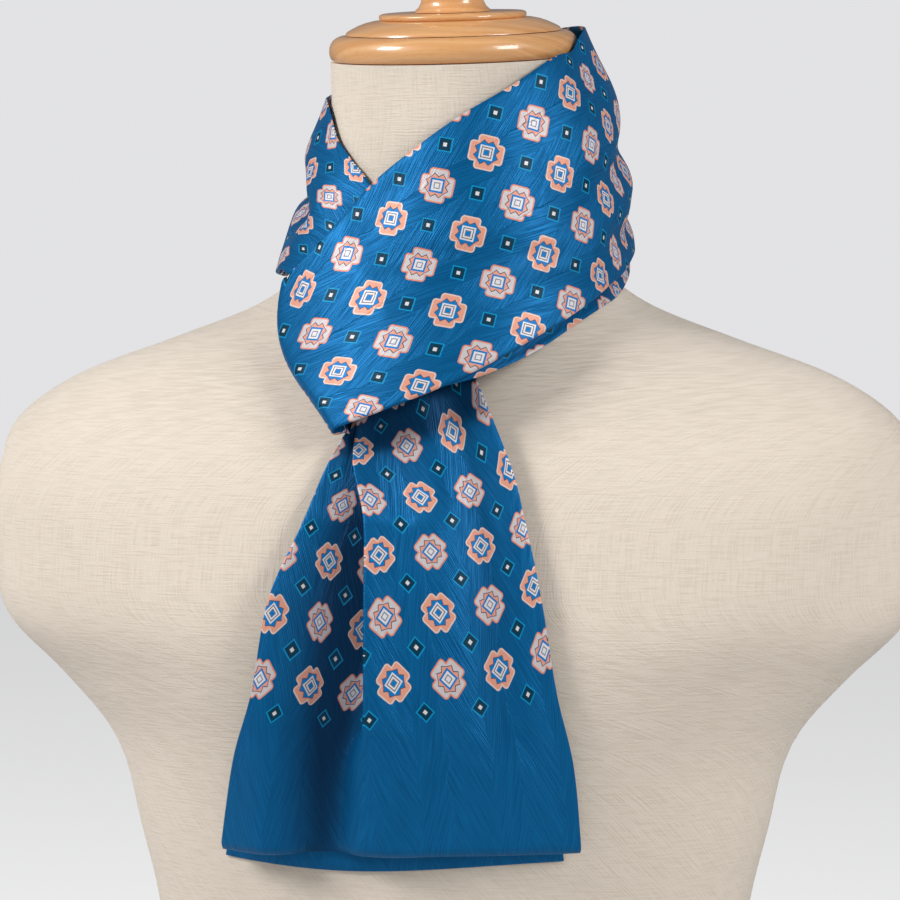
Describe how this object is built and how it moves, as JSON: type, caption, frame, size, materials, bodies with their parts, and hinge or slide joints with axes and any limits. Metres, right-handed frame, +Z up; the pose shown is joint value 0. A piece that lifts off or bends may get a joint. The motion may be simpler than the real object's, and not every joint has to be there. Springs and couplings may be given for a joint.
{
  "type": "ascot on dress form",
  "caption": "Long satin scarf wound round a linen neck and crossed at the front, its tails hanging down the chest, on a limbless dress form with a turned wooden neck cap.",
  "frame": {"origin": "on the flat base of the dress form, under the neck's axis", "axes": "+Z up, the front faces -Y, the wearer's left is +X"},
  "size_m": [0.4842, 0.2549, 0.7217],
  "materials": {
    "linen": "matt plain-woven linen",
    "varnished_wood": "gloss varnish",
    "satin": "blue satin with a small printed repeat"
  },
  "bodies": {
    "root": {"form_body": "linen", "cap_ring": "varnished_wood", "cap_dome": "varnished_wood", "cap_knob": "varnished_wood", "tail_front": "satin", "neck_left": "satin", "neck_back": "satin", "front_band": "satin", "tail_back": "satin"}
  },
  "joints": []
}
